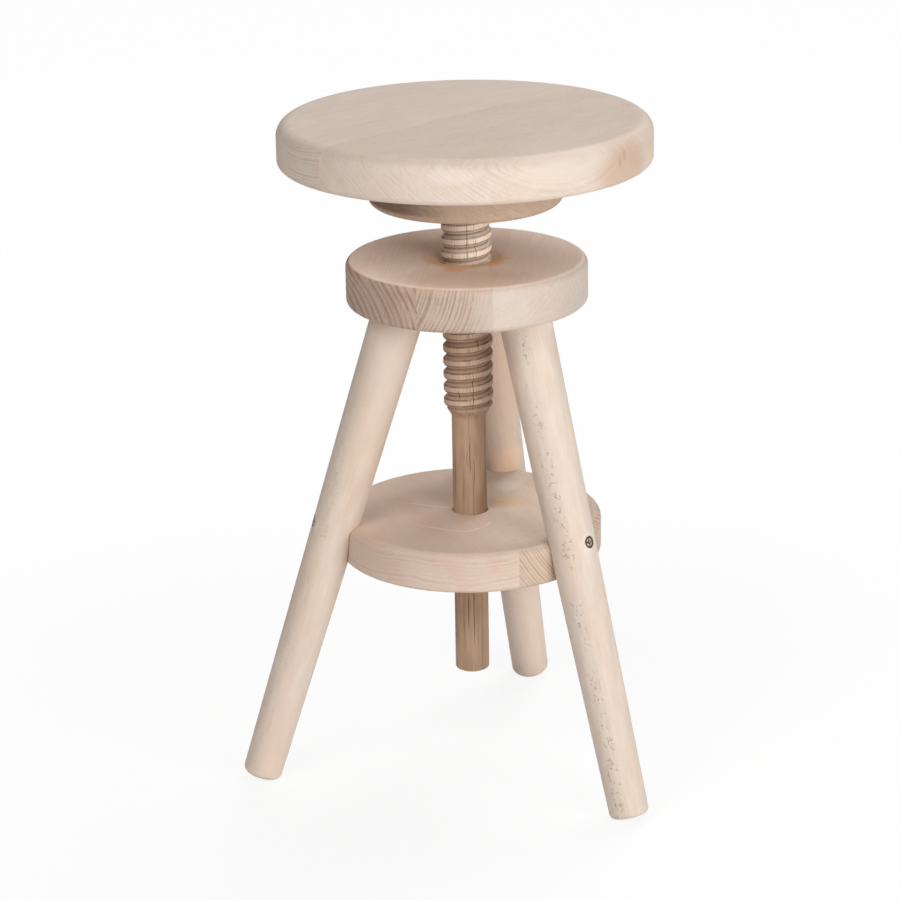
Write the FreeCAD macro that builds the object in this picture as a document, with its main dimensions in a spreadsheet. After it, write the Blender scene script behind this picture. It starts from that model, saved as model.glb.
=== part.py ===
import FreeCAD, Part
import Sketcher
import os
import re

# Wooden screw stool: a round seat on a threaded wooden spindle, which turns in a threaded
# disc carried by three splayed legs. A second disc ties the legs and guides the spindle.
# Lengths are in millimetres and angles in degrees. The origin lies on the floor, on the
# spindle's axis, +Z is up, and azimuths are counted anticlockwise from +X seen from above.

# Driving dimensions
SIZES = [
    ("seat_diameter", 330.0, "seat disc across"),
    ("seat_thickness", 38.4, "seat disc thickness"),
    ("seat_top_rounding", 12.4, "rounding of the seat's upper edge"),
    ("seat_bottom_rounding", 5.7, "rounding of the seat's lower edge"),
    ("seat_grain_azimuth", 45.0, "direction of the seat's boards"),
    ("seat_joint_offset", 9.0, "glue joint of the seat, off the axis"),
    ("plate_diameter", 172.0, "mounting plate under the seat, across"),
    ("plate_thickness", 36.9, "mounting plate thickness"),
    ("plate_rounding", 7.1, "rounding of the plate's lower edge"),
    ("plate_screw_circle", 118.0, "circle of the screws that hold the plate to the seat"),
    ("plate_screw_diameter", 5.0, "plate screw shank"),
    ("plate_screw_head", 9.6, "plate screw head across"),
    ("plate_screw_length", 60.0, "plate screw length"),
    ("plate_screw_sink", 0.4, "plate screw heads lie this far inside the plate's underside"),
    ("seat_gap", 50.7, "room between the plate and the threaded disc, as the seat is set here"),
    ("upper_height", 480.8, "top of the threaded disc above the floor"),
    ("upper_diameter", 215.0, "threaded disc across"),
    ("upper_thickness", 39.8, "threaded disc thickness"),
    ("upper_top_rounding", 6.5, "rounding of the threaded disc's upper edge"),
    ("upper_bottom_rounding", 5.4, "rounding of the threaded disc's lower edge"),
    ("mouth_diameter", 62.0, "shallow worn mouth of the threaded bore, across"),
    ("mouth_depth", 3.1, "worn mouth's depth at the nut thread's inner edge"),
    ("upper_grain_azimuth", 84.0, "direction of the threaded disc's boards"),
    ("upper_middle_board", 66.0, "width of the threaded disc's middle board"),
    ("lower_drop", 237.7, "top of the guide disc below the top of the threaded disc"),
    ("lower_diameter", 237.6, "guide disc across"),
    ("lower_thickness", 36.0, "guide disc thickness"),
    ("lower_top_rounding", 7.5, "rounding of the guide disc's upper edge"),
    ("lower_bottom_rounding", 3.7, "rounding of the guide disc's lower edge"),
    ("lower_grain_azimuth", 106.5, "direction of the guide disc's boards"),
    ("lower_joint_offset", -9.0, "glue joint of the guide disc, off the axis"),
    ("guide_clearance", 0.8, "gap all round between the spindle's shaft and the guide disc"),
    ("thread_diameter", 44.6, "spindle thread over its crests"),
    ("thread_pitch", 12.4, "rise of the seat in one turn"),
    ("groove_width", 7.0, "thread groove at the crests"),
    ("groove_floor", 0.8, "thread groove at its bottom"),
    ("groove_depth", 3.3, "thread groove depth"),
    ("crest_chamfer", 0.8, "bevel that softens the edges of the thread's crests"),
    ("thread_mark_drop", 133.8, "a thread crest at azimuth 180, below the plate's underside"),
    ("thread_length", 185.7, "thread from the plate's underside to its lower end"),
    ("thread_end_cone", 11.3, "height of the cone below the thread"),
    ("thread_crest_clearance", 0.5, "radial gap between the spindle's crests and the nut thread"),
    ("thread_root_clearance", 0.8, "radial gap between the nut thread and the spindle's groove"),
    ("thread_flank_clearance", 0.45, "gap along the axis on each thread flank"),
    ("shaft_diameter", 31.0, "plain lower part of the spindle"),
    ("spindle_length", 443.0, "spindle from the plate's underside to its lower end"),
    ("shaft_end_rounding", 2.0, "rounding of the spindle's lower end"),
    ("spindle_tenon_diameter", 30.0, "spindle tenon in the plate"),
    ("spindle_tenon_length", 26.0, "spindle tenon length"),
    ("spindle_screw_diameter", 6.0, "screw down the spindle's axis, shank"),
    ("spindle_screw_head", 12.0, "screw down the spindle's axis, head across"),
    ("spindle_screw_length", 60.0, "screw down the spindle's axis, length"),
    ("spindle_screw_sink", 0.3, "its head lies this far inside the plate's top"),
    ("spindle_screw_clearance", 0.1, "gap round the screw down the spindle's axis"),
    ("leg_top_radius", 63.6, "leg axis from the stool's axis, at the threaded disc's underside"),
    ("leg_top_azimuth", 200.6, "azimuth of the left leg's upper end"),
    ("leg_splay", 17.54, "lean of each leg from upright"),
    ("leg_lean_turn", -10.55, "azimuth of the lean, counted from the leg's upper end"),
    ("leg_foot_diameter", 35.4, "leg at the floor"),
    ("leg_taper", 0.706, "half angle of the leg's taper, wider at the top"),
    ("leg_foot_rounding", 5.0, "rounding of the foot's edge"),
    ("leg_tenon_diameter", 26.0, "leg tenon in the threaded disc"),
    ("leg_tenon_length", 28.0, "leg tenon length along the leg"),
    ("leg_screw_drop", 1.6, "leg screw, where it crosses the leg's axis, below the guide disc's top"),
    ("leg_screw_diameter", 6.0, "leg screw shank"),
    ("leg_screw_head", 11.0, "leg screw head across"),
    ("leg_screw_length", 80.0, "leg screw length"),
    ("leg_screw_sink", 0.8, "leg screw heads lie this far inside the leg's surface"),
    ("screw_turn_left", 1.0, "left leg's screw, turned about the leg from the plane of its lean"),
    ("screw_turn_right", 8.0, "right leg's screw, turned in the same way"),
    ("screw_turn_back", 4.0, "back leg's screw, turned in the same way"),
    ("head_rim", 0.6, "straight rim of a countersunk head"),
    ("cove_clearance", 0.2, "gap between a leg and its cove in the guide disc"),
    ("joint_clearance", 0.1, "gap round a glued tenon and round a wood screw"),
    ("mortise_end_gap", 0.8, "room past the end of a tenon"),
]

doc = FreeCAD.newDocument("ScrewStool")
sheet = doc.addObject("Spreadsheet::Sheet", "Sizes")
for row, (alias, value, meaning) in enumerate(SIZES, start=1):
    sheet.set("A%d" % row, meaning)
    sheet.set("B%d" % row, str(value))
    sheet.setAlias("B%d" % row, alias)
doc.recompute()

ALIASES = {alias for alias, value, meaning in SIZES}

# Sizes that follow from the driving dimensions
PLATE_BOTTOM = "(upper_height + seat_gap)"
SEAT_BOTTOM = "(upper_height + seat_gap + plate_thickness)"
UPPER_BOTTOM = "(upper_height - upper_thickness)"
LOWER_TOP = "(upper_height - lower_drop)"
LOWER_BOTTOM = "(upper_height - lower_drop - lower_thickness)"
FOOT_RING = "(leg_foot_diameter / 2 + leg_foot_rounding * (tan(leg_taper) - 1 / cos(leg_taper)))"
FOOT_RISE = "(" + FOOT_RING + " * sin(leg_splay) + leg_foot_rounding * (1 - cos(leg_splay)))"
LEG_LENGTH = "((" + UPPER_BOTTOM + " - " + FOOT_RISE + ") / cos(leg_splay))"
LEG_TOP_RADIUS = "(leg_foot_diameter / 2 + " + LEG_LENGTH + " * tan(leg_taper))"
LEG_NAMES = ["left", "right", "back"]
LEG_COUNT = len(LEG_NAMES)
PLATE_SCREW_COUNT = 4
CUT_MARGIN = 10.0


def expression(text):
    """Names of sizes in text become references to the sheet."""
    return re.sub(r"[a-z]\w*", lambda m: "Sizes." + m.group() if m.group() in ALIASES else m.group(), text)


def value_of(text):
    """The number that an expression gives with the sheet's present values."""
    result = sheet.evalExpression(expression(text))
    return float(getattr(result, "Value", result))


def bind(thing, path, text):
    thing.setExpression(path, expression(text))


def place(thing, x="0", y="0", z="0", yaw="0", pitch="0", roll="0", frame=None):
    """Bind a placement, either in the stool's frame or inside another frame."""
    own = "placement(vector(%s; %s; %s); rotation(%s; %s; %s))" % (x, y, z, yaw, pitch, roll)
    thing.setExpression("Placement", expression(own if frame is None else frame + " * " + own))


def new_body(name):
    body = doc.addObject("PartDesign::Body", name)
    body.Label = name
    return body


def outline(body, name, plane_role, points):
    """A closed straight-sided sketch whose corners are bound to expressions."""
    plane = [f for f in body.Origin.OriginFeatures if f.Role == plane_role][0]
    sketch = body.newObject("Sketcher::SketchObject", name)
    sketch.AttachmentSupport = (plane, [""])
    sketch.MapMode = "FlatFace"
    corners = [FreeCAD.Vector(value_of(x), value_of(y), 0) for x, y in points]
    for index, corner in enumerate(corners):
        following = corners[(index + 1) % len(corners)]
        sketch.addGeometry(Part.LineSegment(corner, following), False)
    for index, (x, y) in enumerate(points):
        sketch.addConstraint(Sketcher.Constraint("Coincident", index, 2, (index + 1) % len(points), 1))
        for kind, axis, text in (("DistanceX", -2, x), ("DistanceY", -1, y)):
            if text == "0":
                sketch.addConstraint(Sketcher.Constraint("PointOnObject", index, 1, axis))
            else:
                number = sketch.addConstraint(Sketcher.Constraint(kind, index, 1, value_of(text)))
                sketch.setExpression("Constraints[%d]" % number, expression(text))
    return sketch


def turned(body, name, points):
    """Turn an outline in the body's XZ plane about its Z axis."""
    sketch = outline(body, name + "Outline", "XZ_Plane", points)
    feature = body.newObject("PartDesign::Revolution", name)
    feature.Profile = sketch
    feature.ReferenceAxis = (sketch, ["V_Axis"])
    feature.Angle = 360
    doc.recompute()
    return feature


def round_rim(body, name, rim_radius, rim_height, rounding):
    """Round the circular edge of the given radius and height in the body's own frame."""
    base = body.Tip
    radius = value_of(rim_radius)
    height = value_of(rim_height)
    edges = []
    for index, edge in enumerate(base.Shape.Edges, start=1):
        curve = edge.Curve
        if isinstance(curve, Part.Circle) and abs(curve.Radius - radius) < 1e-4:
            if abs(edge.BoundBox.ZMin - height) < 1e-4 and abs(edge.BoundBox.ZMax - height) < 1e-4:
                edges.append("Edge%d" % index)
    feature = body.newObject("PartDesign::Fillet", name)
    feature.Base = (base, edges)
    bind(feature, "Radius", rounding)
    doc.recompute()
    return feature


def turned_disc(name, bottom, diameter, thickness, top_rounding, bottom_rounding, bore=None, mouth=None):
    """A turned disc with rounded rims, standing at its height, with a conical mouth if it is given."""
    body = new_body(name)
    inner = "0" if bore is None else bore
    outer = diameter + " / 2"
    points = [(inner, "0"), (outer, "0"), (outer, thickness)]
    if mouth is None:
        points.append((inner, thickness))
    else:
        mouth_radius, mouth_depth = mouth
        points += [(mouth_radius, thickness), (inner, "%s - %s" % (thickness, mouth_depth))]
    turned(body, name + "Turning", points)
    if top_rounding:
        round_rim(body, name + "TopRim", outer, thickness, top_rounding)
    if bottom_rounding:
        round_rim(body, name + "BottomRim", outer, "0", bottom_rounding)
    place(body, z=bottom)
    return body


def cut_helix(body, name, points, height):
    """Cut a right-hand helical groove whose section is an outline in the XZ plane."""
    sketch = outline(body, name + "Section", "XZ_Plane", points)
    before = body.Shape.Volume
    feature = body.newObject("PartDesign::SubtractiveHelix", name)
    feature.Profile = sketch
    feature.ReferenceAxis = (sketch, ["V_Axis"])
    feature.Mode = 0
    feature.Angle = 0
    bind(feature, "Pitch", "thread_pitch")
    bind(feature, "Height", height)
    doc.recompute()
    assert body.Shape.Volume < before, name + " cuts nothing"
    return feature


def compound(name, parts):
    group = doc.addObject("Part::Compound", name)
    group.Label = name
    group.Links = parts
    return group


def boolean(kind, name, base, tool):
    result = doc.addObject("Part::" + kind, name)
    result.Label = name
    result.Base = base
    result.Tool = tool
    return result


def board(name, blank, low, high, azimuth, diameter, thickness, bottom):
    """The part of a glued disc between two lines along its grain, low and high off the axis."""
    slab = doc.addObject("Part::Box", name + "Slab")
    bind(slab, "Length", "%s + %g" % (diameter, 2 * CUT_MARGIN))
    bind(slab, "Width", "(%s) - (%s)" % (high, low))
    bind(slab, "Height", "%s + %g" % (thickness, 2 * CUT_MARGIN))
    half = "(%s / 2 + %g)" % (diameter, CUT_MARGIN)
    place(
        slab,
        x="-%s * cos(%s) - (%s) * sin(%s)" % (half, azimuth, low, azimuth),
        y="-%s * sin(%s) + (%s) * cos(%s)" % (half, azimuth, low, azimuth),
        z="%s - %g" % (bottom, CUT_MARGIN),
        yaw=azimuth,
    )
    return boolean("Common", name, blank, slab)


# Countersunk wood screws. The head's flat face is at the body's origin and the shank points
# down its Z axis. The hole of a screw is the same turning with a clearance and an open mouth.
def screw_turning(body, name, size, clearance, mouth):
    head = "(%s_head / 2 + %s)" % (size, clearance)
    shank = "(%s_diameter / 2 + %s)" % (size, clearance)
    cone_end = "-(head_rim + (%s_head - %s_diameter) / 2)" % (size, size)
    tip_start = "-(%s_length - %s_diameter)" % (size, size)
    tip = "-(%s_length + 2 * %s)" % (size, clearance)
    points = [("0", mouth), (head, mouth), (head, "-head_rim")]
    points += [(shank, cone_end), (shank, tip_start), ("0", tip)]
    return turned(body, name, points)


def wood_screw(name, size):
    """A screw with a cross recess, its arms and depth in proportion to the head."""
    body = new_body(name)
    screw_turning(body, name + "Turning", size, "0", "0")
    arm = "(%s_head * 0.29)" % size
    half = "(%s_head * 0.07)" % size
    cross = [(arm, half), (half, half), (half, arm), ("-" + half, arm), ("-" + half, half), ("-" + arm, half)]
    cross += [("-" + arm, "-" + half), ("-" + half, "-" + half), ("-" + half, "-" + arm)]
    cross += [(half, "-" + arm), (half, "-" + half), (arm, "-" + half)]
    sketch = outline(body, name + "Cross", "XY_Plane", cross)
    before = body.Shape.Volume
    recess = body.newObject("PartDesign::Pocket", name + "Recess")
    recess.Profile = sketch
    bind(recess, "Length", "%s_head * 0.2" % size)
    doc.recompute()
    assert body.Shape.Volume < before, name + " has no recess"
    return body


def screw_hole(name, size, clearance):
    body = new_body(name)
    screw_turning(body, name + "Turning", size, clearance, "%g" % CUT_MARGIN)
    return body


# Seat: two wide boards glued edge to edge and turned to a disc with a full rounding on top
seat_blank = turned_disc(
    "SeatBlank", SEAT_BOTTOM, "seat_diameter", "seat_thickness", "seat_top_rounding", "seat_bottom_rounding"
)

# Mounting plate: a smaller disc screwed to the seat, with a blind socket for the spindle
plate_blank = turned_disc(
    "PlateBlank", PLATE_BOTTOM, "plate_diameter", "plate_thickness", None, "plate_rounding"
)
socket = doc.addObject("Part::Cylinder", "SpindleSocket")
bind(socket, "Radius", "spindle_tenon_diameter / 2 + joint_clearance")
bind(socket, "Height", "spindle_tenon_length + mortise_end_gap + %g" % CUT_MARGIN)
place(socket, z=PLATE_BOTTOM + " - %g" % CUT_MARGIN)

# Plate screws: four, driven up through the plate into the seat, between the grain's ends
plate_screws = []
plate_holes = []
for index in range(PLATE_SCREW_COUNT):
    azimuth = "%g" % (index * 360.0 / PLATE_SCREW_COUNT)
    for things, thing in (
        (plate_screws, wood_screw("PlateScrew%d" % index, "plate_screw")),
        (plate_holes, screw_hole("PlateScrewHole%d" % index, "plate_screw", "joint_clearance")),
    ):
        place(
            thing,
            x="plate_screw_circle / 2 * cos(%s)" % azimuth,
            y="plate_screw_circle / 2 * sin(%s)" % azimuth,
            z=PLATE_BOTTOM + " + plate_screw_sink",
            roll="180",
        )
        things.append(thing)
plate_screw_group = compound("plate_screws", plate_screws)

# Spindle screw: down the spindle's axis from the plate's top, hidden by the seat
SPINDLE_SCREW_TOP = SEAT_BOTTOM + " - spindle_screw_sink"
spindle_screw = wood_screw("spindle_screw", "spindle_screw")
place(spindle_screw, z=SPINDLE_SCREW_TOP)
spindle_screw_hole = screw_hole("SpindleScrewHole", "spindle_screw", "spindle_screw_clearance")
place(spindle_screw_hole, z=SPINDLE_SCREW_TOP)

plate_cuts = compound("PlateCuts", [socket, spindle_screw_hole] + plate_holes)
plate = boolean("Cut", "seat_plate", plate_blank, plate_cuts)
seat_drilled = boolean("Cut", "SeatDrilled", seat_blank, compound("SeatCuts", plate_holes))
seat_sizes = ("seat_grain_azimuth", "seat_diameter", "seat_thickness", SEAT_BOTTOM)
seat_boards = [
    board(name, seat_drilled, low, high, *seat_sizes)
    for name, low, high in (
        ("seat_board_front", "-seat_diameter / 2", "seat_joint_offset"),
        ("seat_board_rear", "seat_joint_offset", "seat_diameter / 2"),
    )
]

# Spindle: one turned piece with a tenon, a coarse right-hand thread and a plain guide shaft
THREAD_RADIUS = "(thread_diameter / 2)"
GROOVE_RADIUS = "(thread_diameter / 2 - groove_depth)"
THREAD_MARK = "(" + PLATE_BOTTOM + " - thread_mark_drop)"
THREAD_END = "(" + PLATE_BOTTOM + " - thread_length)"
THREAD_CONE_BOTTOM = "(" + PLATE_BOTTOM + " - thread_length - thread_end_cone)"
SPINDLE_END = "(" + PLATE_BOTTOM + " - spindle_length)"
FLANK_SLOPE = "((groove_width - groove_floor) / 2 / groove_depth)"
SPINDLE_TOP = "(" + PLATE_BOTTOM + " + spindle_tenon_length)"

spindle_body = new_body("SpindleTurned")
turned(
    spindle_body,
    "SpindleTurning",
    [
        ("0", SPINDLE_END),
        ("shaft_diameter / 2", SPINDLE_END),
        ("shaft_diameter / 2", THREAD_CONE_BOTTOM),
        (THREAD_RADIUS, THREAD_END),
        (THREAD_RADIUS, PLATE_BOTTOM),
        ("spindle_tenon_diameter / 2", PLATE_BOTTOM),
        ("spindle_tenon_diameter / 2", SPINDLE_TOP),
        ("0", SPINDLE_TOP),
    ],
)
round_rim(spindle_body, "SpindleEnd", "shaft_diameter / 2", SPINDLE_END, "shaft_end_rounding")


def turns_down(mark, limit):
    """The height of the thread one whole turn or more below a limit, in step with a mark."""
    turns = "ceil((%s - %s + thread_pitch) / thread_pitch)" % (mark, limit)
    return "(%s - thread_pitch * %s)" % (mark, turns)


def turns_between(low, high):
    """A length of half turns that starts at low and ends more than a turn above high."""
    return "((ceil((%s - %s) / thread_pitch) + 1.5) * thread_pitch)" % (high, low)


# The groove's section runs past the crests, so that the cut leaves no skin on them
GROOVE_START = turns_down(THREAD_MARK, THREAD_CONE_BOTTOM)
SECTION_PAST = "joint_clearance * 10"
OUTER_RADIUS = "(%s + %s)" % (THREAD_RADIUS, SECTION_PAST)
EDGE_RADIUS = "(%s - crest_chamfer)" % THREAD_RADIUS
EDGE_HALF = "(groove_width / 2 - crest_chamfer * %s)" % FLANK_SLOPE
CREST_EDGE_HALF = "(groove_width / 2 + crest_chamfer)"
cut_helix(
    spindle_body,
    "SpindleThread",
    [
        (GROOVE_RADIUS, "%s - groove_floor / 2" % GROOVE_START),
        (EDGE_RADIUS, "%s - %s" % (GROOVE_START, EDGE_HALF)),
        (THREAD_RADIUS, "%s - %s" % (GROOVE_START, CREST_EDGE_HALF)),
        (OUTER_RADIUS, "%s - %s" % (GROOVE_START, CREST_EDGE_HALF)),
        (OUTER_RADIUS, "%s + %s" % (GROOVE_START, CREST_EDGE_HALF)),
        (THREAD_RADIUS, "%s + %s" % (GROOVE_START, CREST_EDGE_HALF)),
        (EDGE_RADIUS, "%s + %s" % (GROOVE_START, EDGE_HALF)),
        (GROOVE_RADIUS, "%s + groove_floor / 2" % GROOVE_START),
    ],
    turns_between(GROOVE_START, PLATE_BOTTOM),
)
spindle = boolean("Cut", "spindle", spindle_body, spindle_screw_hole)

# Threaded disc: three boards glued edge to edge, turned, bored and tapped for the spindle. The
# mouth of the bore is worn to a shallow cone.
NUT_RADIUS = "(%s + thread_root_clearance)" % GROOVE_RADIUS
NUT_GROOVE_RADIUS = "(%s + thread_crest_clearance)" % THREAD_RADIUS
CREST_HALF = "((thread_pitch - groove_width) / 2 + thread_flank_clearance)"
MOUTH_HALF = "(%s + (groove_depth - thread_root_clearance) * %s)" % (CREST_HALF, FLANK_SLOPE)
NUT_MARK = "(%s + thread_pitch / 2 - %s)" % (THREAD_MARK, UPPER_BOTTOM)
NUT_START = turns_down(NUT_MARK, "0")

upper_blank = turned_disc(
    "UpperBlank",
    UPPER_BOTTOM,
    "upper_diameter",
    "upper_thickness",
    "upper_top_rounding",
    "upper_bottom_rounding",
    bore=NUT_RADIUS,
    mouth=("mouth_diameter / 2", "mouth_depth"),
)
cut_helix(
    upper_blank,
    "NutThread",
    [
        ("%s - %s" % (NUT_RADIUS, SECTION_PAST), "%s - %s" % (NUT_START, MOUTH_HALF)),
        (NUT_RADIUS, "%s - %s" % (NUT_START, MOUTH_HALF)),
        (NUT_GROOVE_RADIUS, "%s - %s" % (NUT_START, CREST_HALF)),
        (NUT_GROOVE_RADIUS, "%s + %s" % (NUT_START, CREST_HALF)),
        (NUT_RADIUS, "%s + %s" % (NUT_START, MOUTH_HALF)),
        ("%s - %s" % (NUT_RADIUS, SECTION_PAST), "%s + %s" % (NUT_START, MOUTH_HALF)),
    ],
    turns_between(NUT_START, "upper_thickness"),
)


# Legs. A leg's own frame stands where its axis meets the threaded disc's underside, with Z up
# along the leg and X pointing outwards in the plane in which the leg leans.
def leg_frame(index):
    azimuth = "(leg_top_azimuth + %g)" % (index * 360.0 / LEG_COUNT)
    spot = "vector(leg_top_radius * cos(%s); leg_top_radius * sin(%s); %s)" % (azimuth, azimuth, UPPER_BOTTOM)
    return "placement(%s; rotation(%s + leg_lean_turn; -leg_splay; 0))" % (spot, azimuth)


LEG_SPARE = "leg_foot_diameter"
OFFCUT_SIDE = "(8 * %s)" % LEG_TOP_RADIUS
TENON_ROOT = "-leg_tenon_diameter"
LEG_SCREW_HEIGHT = "((%s - leg_screw_drop - %s) / cos(leg_splay))" % (LOWER_TOP, UPPER_BOTTOM)
LEG_SCREW_REACH = "(%s + %s * tan(leg_taper) - leg_screw_sink)" % (LEG_TOP_RADIUS, LEG_SCREW_HEIGHT)

legs = []
leg_screws = []
mortises = []
guide_cuts = []
for index, side in enumerate(LEG_NAMES):
    frame = leg_frame(index)
    name = side.capitalize()

    # Turned bar, tapered to the foot, with spare length to be cut off at the disc's underside
    bar = new_body("LegBar" + name)
    turned(
        bar,
        "LegTurning" + name,
        [
            ("0", "-" + LEG_LENGTH),
            ("leg_foot_diameter / 2", "-" + LEG_LENGTH),
            ("%s + %s * tan(leg_taper)" % (LEG_TOP_RADIUS, LEG_SPARE), LEG_SPARE),
            ("0", LEG_SPARE),
        ],
    )
    round_rim(bar, "LegFoot" + name, "leg_foot_diameter / 2", "-" + LEG_LENGTH, "leg_foot_rounding")
    place(bar, frame=frame)

    # Shoulder, cut level so that it meets the underside of the disc all round
    azimuth = "(leg_top_azimuth + %g)" % (index * 360.0 / LEG_COUNT)
    offcut = doc.addObject("Part::Box", "LegOffcut" + name)
    for side_length in ("Length", "Width", "Height"):
        bind(offcut, side_length, OFFCUT_SIDE)
    place(
        offcut,
        x="leg_top_radius * cos(%s) - %s / 2" % (azimuth, OFFCUT_SIDE),
        y="leg_top_radius * sin(%s) - %s / 2" % (azimuth, OFFCUT_SIDE),
        z=UPPER_BOTTOM,
    )
    shouldered = boolean("Cut", "LegShouldered" + name, bar, offcut)

    # Tenon on the leg and mortise in the threaded disc
    tenon = doc.addObject("Part::Cylinder", "LegTenon" + name)
    bind(tenon, "Radius", "leg_tenon_diameter / 2")
    bind(tenon, "Height", "leg_tenon_diameter + leg_tenon_length")
    place(tenon, z=TENON_ROOT, frame=frame)
    mortise = doc.addObject("Part::Cylinder", "LegMortise" + name)
    bind(mortise, "Radius", "leg_tenon_diameter / 2 + joint_clearance")
    bind(mortise, "Height", "leg_tenon_diameter + leg_tenon_length + mortise_end_gap")
    place(mortise, z=TENON_ROOT, frame=frame)
    mortises.append(mortise)
    tenoned = boolean("Fuse", "LegTenoned" + name, shouldered, tenon)

    # Screw through the leg into the guide disc, square to the leg, each drilled a little askew
    screw = wood_screw("LegScrew" + name, "leg_screw")
    hole = screw_hole("LegScrewHole" + name, "leg_screw", "joint_clearance")
    turn = "screw_turn_" + side
    for thing in (screw, hole):
        place(
            thing,
            x="%s * cos(%s)" % (LEG_SCREW_REACH, turn),
            y="%s * sin(%s)" % (LEG_SCREW_REACH, turn),
            z=LEG_SCREW_HEIGHT,
            yaw=turn,
            pitch="90",
            frame=frame,
        )
    leg_screws.append(screw)
    legs.append(boolean("Cut", "leg_" + side, tenoned, hole))

    # Cove in the guide disc, which the leg nests in
    cove = doc.addObject("Part::Cone", "Cove" + name)
    bind(cove, "Radius1", "leg_foot_diameter / 2 + cove_clearance")
    bind(cove, "Radius2", LEG_TOP_RADIUS + " + cove_clearance")
    bind(cove, "Height", LEG_LENGTH)
    place(cove, z="-" + LEG_LENGTH, frame=frame)
    guide_cuts += [cove, hole]

leg_screw_group = compound("leg_screws", leg_screws)

upper_drilled = boolean("Cut", "UpperDrilled", upper_blank, compound("LegMortises", mortises))
upper_sizes = ("upper_grain_azimuth", "upper_diameter", "upper_thickness", UPPER_BOTTOM)
upper_boards = [
    board(name, upper_drilled, low, high, *upper_sizes)
    for name, low, high in (
        ("upper_board_left", "upper_middle_board / 2", "upper_diameter / 2"),
        ("upper_board_middle", "-upper_middle_board / 2", "upper_middle_board / 2"),
        ("upper_board_right", "-upper_diameter / 2", "-upper_middle_board / 2"),
    )
]

# Guide disc: two boards glued edge to edge, turned, bored for the shaft and coved for the legs
lower_blank = turned_disc(
    "LowerBlank",
    LOWER_BOTTOM,
    "lower_diameter",
    "lower_thickness",
    "lower_top_rounding",
    "lower_bottom_rounding",
    bore="(shaft_diameter / 2 + guide_clearance)",
)
lower_drilled = boolean("Cut", "LowerDrilled", lower_blank, compound("GuideCuts", guide_cuts))
lower_sizes = ("lower_grain_azimuth", "lower_diameter", "lower_thickness", LOWER_BOTTOM)
lower_boards = [
    board(name, lower_drilled, low, high, *lower_sizes)
    for name, low, high in (
        ("lower_board_left", "lower_joint_offset", "lower_diameter / 2"),
        ("lower_board_right", "-lower_diameter / 2", "lower_joint_offset"),
    )
]

doc.recompute()

# Check every object, then write one file for each sub-part
SOLIDS = {"plate_screws": PLATE_SCREW_COUNT, "leg_screws": LEG_COUNT}
subparts = seat_boards + [plate, plate_screw_group, spindle_screw, spindle]
subparts += upper_boards + lower_boards + legs + [leg_screw_group]
for thing in doc.Objects:
    faults = {"Invalid", "Error"} & set(thing.State)
    assert not faults, "%s is %s" % (thing.Label, faults)
for thing in subparts:
    assert not thing.Shape.isNull() and thing.Shape.isValid(), thing.Label + " has a bad shape"
    solids = len(thing.Shape.Solids)
    assert solids == SOLIDS.get(thing.Label, 1), "%s has %d solids" % (thing.Label, solids)

os.makedirs("parts", exist_ok=True)
for thing in subparts:
    thing.Shape.exportStep("parts/%s.step" % thing.Label)
    box = thing.Shape.BoundBox
    corners = (box.XMin, box.YMin, box.ZMin, box.XMax, box.YMax, box.ZMax)
    print("%-20s %10.0f mm3  x %7.1f y %7.1f z %7.1f to x %7.1f y %7.1f z %7.1f" % (
        (thing.Label, thing.Shape.Volume) + corners
    ))
print("seat top %.1f mm above the floor" % value_of(SEAT_BOTTOM + " + seat_thickness"))
print("travel down before the plate meets the threaded disc %.1f mm" % value_of("seat_gap"))
print("travel up before the thread leaves the nut %.1f mm" % value_of(UPPER_BOTTOM + " - " + THREAD_END))
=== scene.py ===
import math

import bpy
from mathutils import Matrix, Vector

# The stool comes in as its built pieces, each in its place, in metres. The spindle's axis is
# the Z axis and the floor is at zero. Every piece keeps its built shape and gets its finish.
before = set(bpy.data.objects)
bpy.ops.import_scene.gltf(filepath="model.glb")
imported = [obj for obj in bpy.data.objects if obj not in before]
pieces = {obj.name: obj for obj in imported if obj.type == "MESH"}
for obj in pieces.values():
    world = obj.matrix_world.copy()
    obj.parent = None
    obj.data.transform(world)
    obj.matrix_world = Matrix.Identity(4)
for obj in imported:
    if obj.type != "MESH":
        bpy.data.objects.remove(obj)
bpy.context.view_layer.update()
bpy.ops.object.select_all(action="DESELECT")


# Seat
# A round top of two wide pale beech boards, glued edge to edge along a line from the left
# front to the right back, turned with a full rounding on top and sanded without varnish.
def put(tree, kind, inputs=None, **settings):
    """Adds a node, with its settings and with values or other nodes' sockets for its inputs."""
    node = tree.nodes.new(kind)
    for name, value in settings.items():
        setattr(node, name, value)
    for key, value in (inputs or {}).items():
        if isinstance(value, bpy.types.NodeSocket):
            tree.links.new(value, node.inputs[key])
        else:
            node.inputs[key].default_value = value
    return node


def calc(tree, operation, first, second=0.0, third=0.0):
    """One step of arithmetic on numbers or sockets."""
    inputs = {0: first, 1: second, 2: third}
    return put(tree, "ShaderNodeMath", inputs, operation=operation).outputs[0]


def times(tree, first, second):
    return calc(tree, "MULTIPLY", first, second)


def times_plus(tree, first, second, third):
    return calc(tree, "MULTIPLY_ADD", first, second, third)


def centred(tree, noise):
    """A noise about zero instead of about a half."""
    return calc(tree, "SUBTRACT", noise, 0.5)


def spread(tree, value, low, high, new_low=0.0, new_high=1.0):
    """A smooth step from new_low to new_high as value goes from low to high."""
    inputs = {"Value": value, "From Min": low, "From Max": high, "To Min": new_low, "To Max": new_high}
    return put(tree, "ShaderNodeMapRange", inputs, interpolation_type="SMOOTHSTEP").outputs[0]


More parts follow.
